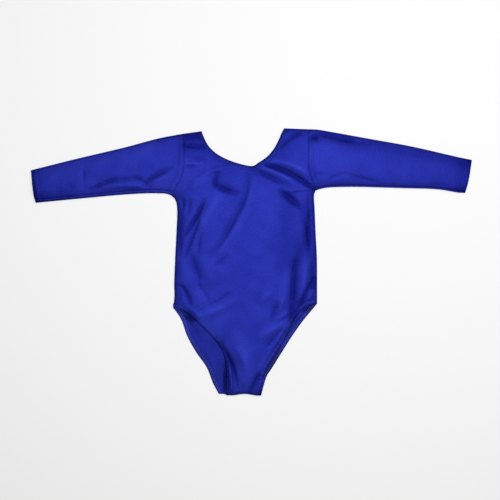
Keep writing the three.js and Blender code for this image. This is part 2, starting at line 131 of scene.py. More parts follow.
# Creases of the upper layer: from, to, bend (how far the middle is bowed to the left of the run), half
# width, height (below zero in a pinched trough, above it on a round ridge) and lean (above zero, the right
# of the run is the steeper side)
CREASES = [
    # the drag lines from the neck to the right armpit
    ((20, 167), (110, 120), 6, 4.0, -2.8, 0),
    ((32, 173), (100, 147), 5, 6, 1.3, 0),
    ((0, 162), (72, 127), -2.5, 4.2, -1.8, 0),
    ((12, 161), (74, 137), 3, 5, 1.2, 0),
    ((50, 119), (106, 124.5), 0, 2.4, 0.9, 0.3),
    ((44, 124), (92, 80), 3, 5.2, -1.9, 0.2),
    ((46, 121), (76, 98), 0, 7.5, -1.0, 0),
    # the dip down the right side
    ((100, 119), (98.5, 12), -1.5, 6.2, -1.4, 0),
    ((84, 84), (98, 22), 4, 3, -0.8, 0),
    ((86, 66), (84, 20), 0, 8, 0.5, 0),
    # the middle of the chest
    ((-55, 154), (-60, 126), -3.5, 4.4, -1.2, 0),
    ((-68, 134), (-18, 115), -2.5, 5.6, -1.8, 0.2),
    ((-8, 158), (-22, 82), 6.3, 5, -1.0, 0),
    ((-9, 118), (-72, 6), 4.5, 5.4, -1.3, 0),
    ((6, 150), (-60, 10), 10, 8, 1.1, 0),
    ((-38, 13), (-66, -8), 1, 4.5, -0.8, 0),
    ((-106, 132), (-12, 163), 9, 4, 0.6, 0),
    ((-104, 124), (-70, 148), 0, 8, 0.9, 0),
    # the left shoulder
    ((-117, 213), (-76, 213), 0, 5, -0.6, 0),
    ((-116, 198), (-78, 195), 0, 4.5, -0.9, 0),
    ((-114, 181), (-74, 173), 0, 3.5, -0.6, 0),
    ((-114, 168), (-82, 167), 0, 2.6, 0.7, 0),
    ((-115, 162.5), (-94, 161.5), 0, 2.2, -0.7, 0),
    # the right shoulder
    ((96, 225), (46, 191), -4.5, 4.5, -1.7, 0),
    # the drag lines under the left arm
    ((-79, 110), (-117, 42), 3.5, 4, -2.2, 0),
    ((-46, 120), (-90, 52), -3, 9, 1.1, 0),
    ((-116, 109), (-116, 88), 0, 2.4, -0.9, 0),
    ((-104, 109), (-108, 77), 0, 2.8, -1.0, 0),
    ((-88, 76), (-117, 2), 0.5, 3.4, -1.4, 0),
    ((-86, 50), (-92, 10), 0, 2.8, -0.8, 0),
    ((-121.5, 98), (-121.5, 2), -1, 4.4, -1.6, 0),
    ((-102, 16), (-84, -34), -2.8, 7.5, -1.4, 0),
    ((-91, -22), (-86, -52), 0, 4, -0.6, 0),
    ((-86, 8), (-60, -40), -3, 9, 0.5, 0),
    # the left hip
    ((-130, -40), (-112, -46), 2, 2.8, -1.0, 0),
    ((-119, -40), (-103, -78), 2.4, 3.4, -1.6, 0),
    ((-92, -34), (-68, -80), 2, 4, -0.5, 0),
    ((-24, -62), (-96, -95), 3.5, 7, 0.9, 0),
    ((-34, -50), (-76, -76), 2, 4.5, -0.7, 0.3),
    # the belly and the right hip
    ((88, 22), (71, -20), -3, 6, -0.8, 0),
    ((74, 4), (69, -108), -1.5, 7, -2.2, 0),
    ((94, 4), (84, -70), 1, 9, 1.6, 0),
    ((111.5, -18), (68, -112), -2, 4.6, -2.0, 0),
    ((106, 16), (105, -40), 0, 3.2, -1.0, 0),
    ((104, -48), (96, -66), 0, 5, 0.7, 0),
    ((47, -66), (33, -106), -1.5, 3.6, -1.0, 0),
    ((56, -58), (44, -90), 0, 4.5, 0.7, 0),
    ((16, -50), (4, -78), 0, 4, -0.4, 0),
    ((40, -44), (12, -72), 0, 6, 0.6, 0),
    ((64, -85), (42, -100), 0, 3.4, 0.7, 0),
    ((66, -100), (6, -130), 0, 6.5, 0.8, 0.2),
    ((54, -112), (24, -148), 1, 5.5, -0.8, 0),
    ((62, -106), (32, -152), 0, 3.4, 0.9, 0),
    ((14, -186), (-8, -228), 1, 4.2, -1.2, 0),
    # the rolled edge of the left leg: pressed down at the rim, with a groove behind the hem
    ((-122, -80), (-90, -103), 1, 4.0, -2.2, 0),
    ((-112, -76), (-84, -97), 0, 6, 0.7, 0),
    ((-54, -146), (-43, -234), 6, 3.2, -4.0, 0),
    ((-38.5, -174), (-34, -226), 1.6, 2.6, 1.8, 0),
    ((-66, -128), (-24, -218), 10, 4.8, -2.8, 0),
    ((-30, -140), (-4, -206), 6, 7, 0.7, 0),
    ((-14, -206), (-17, -224), 0, 2.6, -0.5, 0),
    # the left sleeve
    ((-280, 120), (-228, 142), 1, 2.6, -1.5, 0),
    ((-250, 134), (-186, 142), 2.5, 2.5, -1.3, 0),
    ((-204, 144), (-176, 131), 1.5, 2.5, -1.1, 0),
    ((-258, 126), (-180, 129), 2, 5, 0.9, 0),
    ((-186, 128), (-132, 160), 4.4, 2.9, -1.7, 0),
    ((-171, 129), (-136, 150), 2, 5, 0.9, 0),
    ((-286, 161), (-285, 134), 0, 3.2, -0.6, 0),
    ((-320, 132), (-300, 126), 0, 4, -0.4, 0),
    ((-216, 121), (-176, 122.5), 0, 2.2, -0.7, 0),
    # the right sleeve
    ((98, 216), (113, 204), 3, 4, -1.3, 0),
    ((108, 219), (164, 207), 0, 6, -1.2, 0),
    ((146, 210), (206, 200), 1, 5, -0.7, 0),
    ((112, 198), (150, 194), 0, 12, 0.4, 0),
    ((131, 139), (165, 150), 2.5, 3, -0.7, 0),
    ((158, 151), (216, 135), -1, 3.4, -0.8, 0),
    ((104, 149), (130, 149), 0, 3, -0.7, 0),
    ((300, 131), (340, 128), 0, 4, -0.6, 0),
]

# Creases of the lower layer, seen in the leg openings: the same columns
BACK_CREASES = [
    ((-130, -80), (-113, -90), 0, 3.4, -2.2, 0),
    ((-114, -88), (-96, -103), 0, 4.8, -3.2, 0),
    ((84, -84), (122, -68), -1, 5, -3.6, 0),
    ((92, -84), (44, -152), 0, 7, -1.0, 0),
    ((52, -140), (18, -204), -1, 6, -3.2, 0),
    ((-106, -98), (-88, -128), 0, 4, -0.5, 0),
    ((-104, -134), (-77, -178), 0, 3, -1.3, 0),
    ((-81, -166), (-57.5, -228), 1, 3, -1.8, 0),
    ((-80, -140), (-62, -196), 2, 5, 0.5, 0),
    ((-45.5, -172), (-45.5, -230), 0, 3, -3, 0),
]

# Painted shade (below zero) and painted highlights on the knit of the front: the points of a path, how far
# to both sides it reaches and how strong it is
PAINTED_SHADING_PATHS = [
    # the neck hem and the shoulders
    (*NECKLINE[:7], 5, -0.2),
    (*NECKLINE[6:], 6, -0.5),
    (*NECKLINE[:4], 10, -0.3),
    ((-113, 212), (-86, 214), 10, -0.75),
    ((-160, 206), (-120, 217), 3, -0.4),
    ((-114, 198), (-82, 195), 7, -0.75),
    ((-112, 186), (-84, 182), 9, -0.35),
    ((-110, 168), (-84, 167), 3, 0.3),
    ((-70, 186), (-40, 170), 8, -0.2),
    ((46, 222), (94, 221), 7, -0.35),
    ((42, 200), (58, 176), 16, -0.3),
    ((26, 165), (60, 152.5), (88, 136), (105, 123), 4, -0.8),
    # the chest and the right side
    ((36, 172), (66, 166), (93, 153), 6, 0.3),
    ((16, 159), (38, 153), (66, 140), 5, 0.3),
    ((-54, 158), (10, 158), 22, -0.3),
    ((-62, 136), (-54, 127), (-42, 122), 8, -0.25),
    ((-56, 112), (-73, 90), (-82, 66), 9, 0.25),
    ((-20, 61), (-36, 46), (-48, 29), (-66, 6), 7, 0.15),
    ((24, 112), (34, 84), 20, 0.15),
    ((56, 115), (76, 98), 6, -0.2),
    ((98, 84), (98, 16), 8, -0.35),
    ((86, 42), (80, 22), (76, 6), 12, -0.4),
    ((60, 92), (56, 2), 20, -0.3),
    ((74, -10), (71, -60), (69, -94), 5, -0.25),
    # the hips and the crotch
    ((107, -28), (104, -42), 4.5, -0.8),
    ((-118, 16), (-116, -30), 9, 0.35),
    ((-84, -66), (-50, -90), 20, 0.3),
    ((-82, -98), (-58, -120), 12, 0.35),
    ((20, -84), (40, -108), 14, 0.2),
    ((62, -28), (60, -64), 11, 0.3),
    ((-20, -130), (-6, -160), (-10, -214), 15, 0.4),
    ((62, -103), (20, -124), 6, 0.2),
    ((50, -120), (30, -146), 4, 0.3),
    ((13, -190), (8, -202), 6, -0.6),
    ((18, -216), (15, -224), 4, -0.9),
    ((-92, -91), (-71, -112), (-54, -131), 3, 0.4),
    ((-57, -143), (-46, -160), (-41.5, -172), 4, -0.9),
    ((-43.5, -178), (-43.5, -220), 3, -1.2),
    ((-37, -184), (-35, -214), 3, 0.3),
    ((-42, -140), (-29, -166), (-22, -192), 5, 0.35),
    ((-24, -206), (-8, -212), (2, -206), 13, 0.35),
    ((26, -156), (12, -186), 5, 0.35),
    ((4, -208), (-4, -222), 4, -0.5),
    # the left sleeve
    ((-364, 148), (-290, 166), (-170, 190), 14, 0.3),
    ((-160, 128), (-138, 122), 12, 0.45),
    ((-376, 164), (-367, 108), 17, -0.65),
    ((-364, 108), (-310, 112), 12, -0.45),
    # the right sleeve
    ((112, 217), (134, 214), (166, 206), 7, -0.6),
    ((101, 207), (108, 210), 5, -0.7),
    ((98, 160), (104, 142), 8, -0.25),
    ((160, 206), (372, 168), 12, -0.35),
    ((116, 184), (150, 170), 22, 0.2),
    ((370, 168), (366, 122), 22, -0.6),
    ((300, 124), (362, 120), 8, -0.2),
]

# Colours of the knit, outside and inside, and of both threads from deep to bright
KNIT_COLOUR = (0.0124, 0.0191, 0.254)
INSIDE_COLOUR = (0.0132, 0.02, 0.254)
THREAD_COLOURS = ((0.012, 0.018, 0.24), (0.025, 0.035, 0.42))
LOOPER_COLOURS = ((0.05, 0.07, 0.45), (0.12, 0.15, 0.62))

# The knit's colour under full painted shade and under a full painted highlight, as shares of its own colour
PAINTED_SHADE_SHARE = (0.06, 0.1, 0.37)
PAINTED_SHADE_SHARE_INSIDE = (0.04, 0.05, 0.12)
PAINTED_HIGHLIGHT_SHARE = (2.3, 2.2, 1.6)

# How much the courses count beside the wales, and the ribs, the flecks and the mesh's painted shading in the
# colour
COURSE_SHARE = 0.4
RIB_SHARE, FLECK_SHARE, PAINTED_SHADING_SHARE = 0.16, 0.52, 0.38

# The depth of a trough and the height of a ridge at which the painted shade and the painted highlight are
# full
FULL_SHADE_DEPTH = 2.4
FULL_HIGHLIGHT_HEIGHT = 4.5

# Painted shading along an edge, as strength and reach: painted shade at a closed edge and at a turned one,
# and a painted highlight at the very rim
PAINTED_EDGE_SHADE = (0.1, 3.5)
PAINTED_HEM_SHADE = (0.1, 1.6)
PAINTED_RIM_HIGHLIGHT = (0.8, 0.9)

# How the turned edges bend down: over what width, and by how much at most
NECK_ROLL = (5, 1.8)
LEG_ROLL = (2, 0.6)
CUFF_ROLL = {"left": (9, 2.2), "right": (4, 0.8)}

# The turned edge of a hem: over what width it is round, and the share of its thickness that this takes off.
# At a cuff: over what width, and the share that is left
HEM_TURN = (1.2, 0.7)
CUFF_TURN = (1.0, 0.35)

# Grooves along seams and stitching, as depth and half width
PANEL_SEAM = (0.15, 0.9)
ARMHOLE_SEAM = (0.3, 0.9)
HEM_SEAM = (0.2, 0.8)
STITCH_GROOVE = (0.12, 0.7)

# Rows of stitching, from the inner edge of a hem, and the one groove between them at a cuff
STITCH_ROWS = (1.6, 4)
CUFF_GROOVE = 2.4

# How far above the level of a folded edge a cuff stays where it bends down
CUFF_CLEARANCE = 0.2

# The underarm seam of each sleeve: how far it lies from the edge, its groove, and the ridge beside it
UNDERARM_SEAM = {"left": 4.6, "right": 2.2}
UNDERARM_GROOVE = (0.6, 1.0)
UNDERARM_RIDGE = (0.3, 1.3)
UNDERARM_RIDGE_GAP = 2.2

# The seam allowance that shows through a sleeve at the armhole: its width, its height and its two slopes
ALLOWANCE_WIDTH = 9.5
ALLOWANCE_RISE = 0.25
ALLOWANCE_SLOPES = (2.2, 1.6)

# Gathers along a seam: how many millimetres apart, how high, how far they reach into the cloth
LEG_GATHER = (8.5, 0.34, 7)
CROTCH_GATHER = (6.5, 0.35, 7)
UNDERARM_GATHER = (14, 0.12, 6)
ARMHOLE_GATHER = (10.5, 0.16, 5)
NECK_GATHER = (12, 0.1, 6)

# Soft waviness all over: wavelength, direction in degrees, height
UNDULATIONS = [(63, 20, 0.1), (47, 95, 0.08), (38, 140, 0.06), (29, 62, 0.04), (21, 170, 0.03)]

# Grid counts
LEG_ROWS, SIDE_ROWS, ARM_ROWS = 86, 108, 62
SHOULDER_COLUMNS, NECK_COLUMNS = 24, 112
SHOULDER_SHARE = 0.13
SLEEVE_STATIONS, SLEEVE_SPOTS = 140, 62
LINE_SAMPLES = 60
NECK_STATIONS, LEG_STATIONS, CUFF_STATIONS = 170, 150, 16
HEM_ACROSS = [0, 0.12, 0.4, 0.9, 1.6, 2.6, 3.8, 5, 5.8, 6.4, 7]

# One stitch: its length, the gap to the next, its number of sides, how much of its radius its middle lies
# above the path, and its sections, each as a share of the length from its middle and a share of the radius
STITCH_LENGTH, STITCH_GAP, STITCH_SIDES = 2.2, 0.7, 6
STITCH_PROUD = 0.35
STITCH_SECTIONS = [(-0.5, 0.35), (-0.38, 0.9), (0, 1.0), (0.38, 0.9), (0.5, 0.35)]

# Kinds of stitching: radius, how far it is sunk into the cloth, and how far it zigzags
PLAIN_STITCH = (0.24, 0.2, 0.0)
ZIGZAG_STITCH = (0.38, 0.1, 0.9)
CUFF_STITCH = (0.24, 0.3, 0.0)


def smooth(t):
    t = np.clip(t, 0, 1)
    return t * t * (3 - 2 * t)


def bell(gap, height, width):
    """A round ridge along a line, from each point's distance to it."""
    return height * np.exp(-((gap / width) ** 2))


def arc_lengths(points):
    """How far along a run of points each of them is."""
    return np.concatenate([[0], np.cumsum(np.linalg.norm(np.diff(points, axis=0), axis=1))])


def along_line(s, arc, points):
    """The points that are so far along a run of points."""
    return np.column_stack([np.interp(s, arc, points[:, k]) for k in range(2)])


def line(points):
    """A smooth line through points, as a function of the share of its length."""
    p = np.array(points, float)
    p = np.vstack([2 * p[0] - p[1], p, 2 * p[-1] - p[-2]])
    gap = np.linalg.norm(np.diff(p, axis=0), axis=1) ** 0.5
    t = np.linspace(0, 1, 40, endpoint=False)[:, None]
    spans = []
    for i in range(1, len(p) - 2):
        a, b, c, d = p[i - 1 : i + 3]
        g0, g1, g2 = gap[i - 1 : i + 2]
        start = ((b - a) / g0 - (c - a) / (g0 + g1) + (c - b) / g1) * g1
        end = ((c - b) / g1 - (d - b) / (g1 + g2) + (d - c) / g2) * g1
        square = 3 * (c - b) - 2 * start - end
        cube = 2 * (b - c) + start + end
        spans.append(b + start * t + square * t**2 + cube * t**3)
    dense = np.vstack(spans + [p[-2][None]])
    arc = arc_lengths(dense)

    def at(share):
        return along_line(np.clip(np.atleast_1d(share), 0, 1) * arc[-1], arc, dense)

    at.length = arc[-1]
    return at


def unit(a, b):
    way = np.array(b, float) - np.array(a, float)
    return way / np.linalg.norm(way)


def unit_rows(ways):
    return ways / np.linalg.norm(ways, axis=1)[:, None]


def aside(ways):
    """Each way turned a quarter to the left."""
    return np.column_stack([-ways[:, 1], ways[:, 0]])


def inset(edge, distance, start_along, end_along, inward):
    """The edge moved sideways into the cloth, its two ends moving along the edges that they end on."""
    turn = 0.12
    step = 0.004

    def at(share):
        s = np.atleast_1d(share)
        across = aside(unit_rows(edge(s + step) - edge(s - step))) * inward
        start = (1 - smooth(s / turn))[:, None]
        end = (1 - smooth((1 - s) / turn))[:, None]
        way = across * (1 - start - end) + np.array(start_along) * start + np.array(end_along) * end
        return edge(s) + unit_rows(way) * distance

    return at


neck_edge = line(NECKLINE)
crotch_edge = line(CROTCH_LINE)
back_crotch_edge = line([BACK_CROTCH["left"], *CROTCH_LINE])
edges = {}
for side_name, tables in SIDES.items():
    edges[side_name] = {edge_name: line(points) for edge_name, points in tables.items()}
    edges[side_name]["shoulder"] = line([SHOULDER[side_name], NECK[side_name]])
SHOULDER_OUT = {name: unit(NECK[name], SHOULDER[name]) for name in NECK}
UP = np.array([0, 1])
INWARD = {"left": 1, "right": -1}


def back_neck_edge(share):
    """The neckline of the back, which meets the front one at the shoulders."""
    s = np.atleast_1d(share)
    taper = 0.3
    p = neck_edge(s)
    p[:, 1] -= BACK_NECK_DROP * smooth(s / taper) * smooth((1 - s) / taper)
    return p


def neck_inset(edge, distance):
    """A neck edge moved down into the cloth, its ends along the shoulders."""
    return inset(edge, distance, SHOULDER_OUT["left"], SHOULDER_OUT["right"], -1)


def leg_inset(edge, distance, name):
    """A leg edge moved up into the cloth, its ends along the side seam and the crotch."""
    return inset(edge, distance, UP, np.array([INWARD[name], 0]), INWARD[name])


def samples(edge):
    return edge(np.linspace(0, 1, LINE_SAMPLES + 1))


def nearest(xy, lines):
    """The distance of each point to the nearest of some lines, and how far along it that is."""
    best = np.full(len(xy), np.inf)
    along = np.zeros(len(xy))
    for points in lines:
        run = 0.0
        for a, b in zip(points[:-1], points[1:]):
            d = b - a
            length = math.hypot(*d)
            t = np.clip(((xy - a) @ d) / length**2, 0, 1)
            gap = np.hypot(xy[:, 0] - a[0] - t * d[0], xy[:, 1] - a[1] - t * d[1])
            closer = gap < best
            best[closer] = gap[closer]
            along[closer] = run + t[closer] * length
            run += length
    return best, along


top_lines = [samples(edges[name][edge_name]) for name in edges for edge_name in ("shoulder", "sleeve_top")]
closed_lines = [samples(crotch_edge), *top_lines]
leg_lines = []
for name in edges:
    closed_lines += [samples(edges[name]["sleeve_bottom"]), samples(edges[name]["side"])]
    leg_lines.append(samples(edges[name]["front_leg"]))
neck_lines = [samples(neck_edge)]


def creased(xy, rows):
    """The height that creases give each point, and their painted shading: round ridges and pinched troughs
    along a line, fading towards both of its ends, with painted shade in the troughs and a painted highlight
    on the ridges."""
    rise = np.zeros(len(xy))
    painted_shading = np.zeros(len(xy))
    for start, end, bend, width, height, lean in rows:
        run = np.array(end, float) - start
        length = np.linalg.norm(run)
        run /= length
        offset = xy - np.array(start, float)
        along = np.clip(offset @ run / length, 0, 1)
        across = offset[:, 1] * run[0] - offset[:, 0] * run[1] - bend * 4 * along * (1 - along)
        off = across / (width * np.where(across > 0, 1 + lean, 1 - lean))
        round_profile = np.exp(-(off**2))
        pinched = np.exp(PINCH - np.sqrt(off**2 + PINCH**2))
        fade = np.sin(np.pi * along) ** 0.7
        rise += height * fade * (round_profile if height > 0 else pinched)
        # painted shade along a trough and a painted highlight along a ridge
        painted_shading += height * fade * round_profile / (FULL_HIGHLIGHT_HEIGHT if height > 0 else FULL_SHADE_DEPTH)
    return rise, painted_shading


def gather(distance, along, spec, phase=0.0):
    """Uneven small waves along a seam that fade away from it."""
    spacing, height, reach = spec
    turn = 2 * np.pi * along / spacing + phase
    uneven = np.sin(turn + 1.3 * np.sin(turn * 0.31)) * (0.65 + 0.35 * np.sin(turn * 0.17 + 1))
    return height * uneven * np.exp(-distance / reach)


def undulation(xy):
    total = np.zeros(len(xy))
    for wavelength, degrees, height in UNDULATIONS:
        angle = math.radians(degrees)
        turn = 2 * np.pi * (xy[:, 0] * math.cos(angle) + xy[:, 1] * math.sin(angle)) / wavelength
        total += height * np.sin(turn + wavelength)
    return total


def upper_layer(xy):
    """The underside of the upper layer, and the distance to the nearest closed edge."""
    edge, _ = nearest(xy, closed_lines)
    leg, leg_along = nearest(xy, leg_lines)
    neck, neck_along = nearest(xy, neck_lines)
    loft = BODY_LOFT * (1 - np.exp(-edge / LOFT_REACH))
    loft *= 1 - LEG_PRESS * np.exp(-leg / PRESS_REACH)
    loft *= 1 - NECK_PRESS * np.exp(-neck / PRESS_REACH)
    loft *= 1 - TOP_PRESS * np.exp(-nearest(xy, top_lines)[0] / TOP_REACH)
    folded = loft + smooth(edge / LOFT_REACH) * (creased(xy, CREASES)[0] + undulation(xy))
    folded += smooth(edge / SEAM_REACH) * gather(leg, leg_along, LEG_GATHER)
    folded += smooth(edge / SEAM_REACH) * gather(neck, neck_along, NECK_GATHER)
    crotch, crotch_along = nearest(xy, [samples(crotch_edge)])
    folded += smooth(edge / 3) * gather(crotch, crotch_along, CROTCH_GATHER, 0.8)
    raised = SOFTNESS * (np.log1p(np.exp(folded / SOFTNESS)) - math.log(2) * np.exp(-edge / SEAM_REACH))
    return SOLID_WALL + LAYER_GAP + raised, edge


def painted_rim_highlight(depth, painted_shading):
    """A painted highlight along the very rim, weaker where painted shade lies."""
    return bell(depth, *PAINTED_RIM_HIGHLIGHT) * (1 + np.clip(painted_shading, -1, 0))


def upper_painted_shading(xy):
    """How much painted shade, down to -1, or painted highlight the upper layer's colour gets: painted shade
    in a trough, at a closed edge and on dark paths, and a painted highlight on a ridge, at the rim and on
    bright paths."""
    edge, _ = nearest(xy, closed_lines)
    painted_shading = creased(xy, CREASES)[1] - bell(edge, *PAINTED_EDGE_SHADE)
    painted_shading += painted_rim_highlight(edge, painted_shading)
    for *path, reach, amount in PAINTED_SHADING_PATHS:
        gap, _ = nearest(xy, [np.array(path, float)])
        painted_shading += bell(gap, amount, reach)
    return np.clip(painted_shading, -1, 1)


# painted shade in the troughs of the lower layer, seen in the leg openings
def lower_painted_shading(xy):
    return np.clip(creased(xy, BACK_CREASES)[1], -1, 1)


def rounding(edge, radius):
    """0 at a folded or seamed edge, 1 from its radius inward, as a quarter circle."""
    t = np.clip(edge / radius, 0, 1)
    return np.sqrt(1 - (1 - t) ** 2)


def upper_faces(xy, rise=0.0):
    """The outer and the inner height of the upper layer."""
    under, edge = upper_layer(xy)
    full = under + SOLID_WALL + rise
    top = FOLD_LEVEL + (full - FOLD_LEVEL) * rounding(edge, EDGE_ROUND)
    inner = np.maximum(np.maximum(top - SHELL - rise, FOLD_LEVEL), 0)
    return top, np.minimum(inner, top - THINNEST)


def lower_faces(xy, rise=0.0):
    """The inner and the outer height of the lower layer, which rests on the floor."""
    edge, _ = nearest(xy, closed_lines)
    bottom = FOLD_LEVEL * (1 - rounding(edge, EDGE_ROUND))
    wave = creased(xy, BACK_CREASES)[0] * smooth(edge / BACK_START)
    top = np.maximum(SHELL + BACK_LIFT + rise + wave, SHELL * BACK_LEAST)
    return np.maximum(top, bottom + THINNEST), bottom


def patch(left, right, bottom, top, u, low_share, high_share):
    """A grid between four edges, which it meets exactly. The shares say how far each row follows the bow of
    the bottom and of the top edge."""
    u = u[None, :, None]
    low = bottom[None] - (1 - u) * bottom[0] - u * bottom[-1]
    high = top[None] - (1 - u) * top[0] - u * top[-1]
    bow = low_share[:, None, None] * low + high_share[:, None, None] * high
    return (1 - u) * left[:, None] + u * right[:, None] + bow


def ease_in(count, share):
    """Steps from 0 to 1, with a share of them packed towards 0."""
    t = np.linspace(0, 1, count)
    return (1 - share) * t + share * t**2.6


def mesh_from(name, points, quads, uv, material, rim=(), painted_shading=()):
    """A closed mesh in metres, its faces turned out, with the cloth's own directions as its UV map and a
    painted shading value at each point, painted shade below zero and painted highlight above. Its surface
    bends sharply between two points of the rim."""
    points = np.asarray(points) * MM
    quads = np.asarray(quads)
    a, b, c, d = (points[quads[:, k]] for k in range(4))
    volume = np.einsum("ij,ij->", a, np.cross(b, c)) + np.einsum("ij,ij->", a, np.cross(c, d))
    if volume < 0:
        quads = quads[:, ::-1]
    mesh = bpy.data.meshes.new(name)
    mesh.from_pydata(points.tolist(), [], quads.tolist())
    loops = np.empty(len(mesh.loops), int)
    mesh.loops.foreach_get("vertex_index", loops)
    layer = mesh.uv_layers.new(name="cloth")
    layer.data.foreach_set("uv", (np.asarray(uv)[loops] * MM).ravel())
    mesh.shade_smooth()
    on_rim = np.zeros(len(points), bool)
    on_rim[list(rim)] = True
    ends = np.empty(2 * len(mesh.edges), int)
    mesh.edges.foreach_get("vertices", ends)
    mesh.edges.foreach_set("use_edge_sharp", on_rim[ends.reshape(-1, 2)].all(axis=1))
    if len(painted_shading):
        mesh.attributes.new("painted_shading", "FLOAT", "POINT").data.foreach_set("value", np.asarray(painted_shading, np.float32))
    mesh.materials.append(material)
    piece = bpy.data.objects.new(name, mesh)
    scene.collection.objects.link(piece)
    return piece


def grid_quads(rows, columns, start=0, wrap=False):
    i = np.arange(rows - 1)[:, None]
    j = np.arange(columns if wrap else columns - 1)[None, :]
    k = (j + 1) % columns
    quads = np.stack([i * columns + j, i * columns + k, (i + 1) * columns + k, (i + 1) * columns + j], -1)
    return quads.reshape(-1, 4) + start


def shell(name, plan, top, bottom, painted_shading, material):
    """A thin closed sheet over a grid of the plane."""
    rows, columns, _ = plan.shape
    xy = plan.reshape(-1, 2)
    points = np.vstack([np.column_stack([xy, bottom]), np.column_stack([xy, top])])
    count = rows * columns
    under = grid_quads(rows, columns)
    over = grid_quads(rows, columns, count)[:, ::-1]
    ring = np.concatenate([
        np.arange(columns),
        np.arange(1, rows) * columns + columns - 1,
        (rows - 1) * columns + np.arange(columns - 2, -1, -1),
        np.arange(rows - 2, 0, -1) * columns,
    ])
    after = np.roll(ring, -1)
    rim = np.stack([after, ring, ring + count, after + count], -1)
    both = np.concatenate([ring, ring + count])
    faces = np.vstack([under, over, rim])
    return mesh_from(name, points, faces, np.vstack([xy, xy]), material, both, np.tile(painted_shading, 2))


def plan_area(plan):
    d1 = plan[1:, 1:] - plan[:-1, :-1]
    d2 = plan[1:, :-1] - plan[:-1, 1:]
    return float(np.abs(d1[..., 0] * d2[..., 1] - d1[..., 1] * d2[..., 0]).sum() / 2) * MM * MM


def dress(piece, node, with_pieces=()):
    """The piece stands for its solid, which is hidden; the piece is hung under the root."""
    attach(piece, "root")
    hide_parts(node)
    return piece


def panel_plan(neck_top, bottom, leg_name):
    """The grid of one body panel, less its hems."""
    boundary = {}
    for name, side in edges.items():
        leg = leg_inset(side[leg_name], LEG_HEM, name)
        low = leg(1 - ease_in(LEG_ROWS, 0.35))
        start = LEG_HEM / side["side"].length
        middle = side["side"](start + (1 - start) * np.linspace(0, 1, SIDE_ROWS))
        high = side["armhole"](1 - ease_in(ARM_ROWS, 0.6)[::-1])
        boundary[name] = np.vstack([low[:-1], middle[:-1], high])
    rows = len(boundary["left"])
    neck_in = neck_inset(neck_top, NECK_HEM)
    near = ease_in(SHOULDER_COLUMNS, 0.85)
    ends = {name: 1 - NECK_HEM / edges[name]["shoulder"].length for name in edges}
    left_top = edges["left"]["shoulder"](near * ends["left"])
    right_top = edges["right"]["shoulder"](near * ends["right"])[::-1]
    top = np.vstack([left_top[:-1], neck_in(np.linspace(0, 1, NECK_COLUMNS)), right_top[1:]])
    middle_u = np.linspace(SHOULDER_SHARE, 1 - SHOULDER_SHARE, NECK_COLUMNS)
    u = np.concatenate([near[:-1] * SHOULDER_SHARE, middle_u, 1 - near[::-1][1:] * SHOULDER_SHARE])
    inner = LEG_HEM / bottom.length
    base = bottom(inner + (1 - 2 * inner) * u)
    row = np.arange(rows)
    low_share = np.clip(1 - row / (LEG_ROWS * 0.5), 0, 1)
    above_hip = LEG_ROWS + 8
    high_share = np.clip((row - above_hip) / (rows - 1 - above_hip), 0, 1)
    return patch(boundary["left"], boundary["right"], base, top, u, low_share, high_share)


def hem_lines(neck_top, leg_name):
    legs = [samples(leg_inset(side[leg_name], LEG_HEM, name)) for name, side in edges.items()]
    return [samples(neck_inset(neck_top, NECK_HEM)), *legs]


armhole_lines = [samples(side["armhole"]) for side in edges.values()]


def body_panel(name, neck_top, bottom, leg_name, faces, painted_shading, dip, material):
    plan = panel_plan(neck_top, bottom, leg_name)
    xy = plan.reshape(-1, 2)
    top, under = faces(xy)
    for lines, groove in ((hem_lines(neck_top, leg_name), PANEL_SEAM), (armhole_lines, ARMHOLE_SEAM)):
        top = top - dip * bell(nearest(xy, lines)[0], *groove)
    top = np.maximum(top, under + THINNEST)
    return shell(name, plan, top, under, painted_shading(xy), material), plan_area(plan)


def hem_grooves(gap):
    """How deep the seam and the stitching of a hem are pressed in, from the distance to its inner edge."""
    return bell(gap, *HEM_SEAM) + sum(bell(gap - row, *STITCH_GROOVE) for row in STITCH_ROWS)


def hem_strip(name, moved, width, faces, painted_shading, count, material, roll, rim=1):
    """A turned hem between an open edge and its stitching, round at the turned edge. The first function gives
    the edge moved into the cloth. The roll says over what width, and by how much at most, the edge bends
    down, and rim how much of the painted rim highlight it has."""
    across = np.array(HEM_ACROSS) / HEM_ACROSS[-1]
    share = np.linspace(0, 1, count)
    outer = moved(0)(share)
    inner = moved(width)(share)
    plan = outer[None] * (1 - across[:, None, None]) + inner[None] * across[:, None, None]
    xy = plan.reshape(-1, 2)
    depth = np.repeat(across * width, count)
    top, under = faces(xy)
    turn_width, turn_share = HEM_TURN
    curl = turn_share * (1 - rounding(depth, turn_width)) * (top - under)
    drop = np.clip(top - SOLID_WALL - LAYER_GAP - SHELL, 0, roll[1]) * (1 - rounding(depth, roll[0]))
    top = top - curl - hem_grooves(width - depth) - drop
    under = under - drop
    top = np.maximum(top, under + THINNEST)
    # painted shade along the turned edge and a painted highlight at its rim
    shade = painted_shading(xy) - bell(depth, *PAINTED_HEM_SHADE)
    shade = np.clip(shade + painted_rim_highlight(depth, shade) * rim, -1, 1)
    return shell(name, plan, top, under, shade, material), plan_area(plan)


def sleeve_plan(name, start, stop, count):
    """Rings across a sleeve: closer together near its two folded edges."""
    side = edges[name]
    ease = ease_in(SLEEVE_SPOTS // 2, 0.8) / 2
    u = np.concatenate([ease, 1 - ease[::-1][1:]])
    v = start + (stop - start) * np.linspace(0, 1, count)
    low, high = side["sleeve_bottom"](v), side["sleeve_top"](v)
    return patch(low, high, side["armhole"](u), side["cuff"](u), u, 1 - v, v)


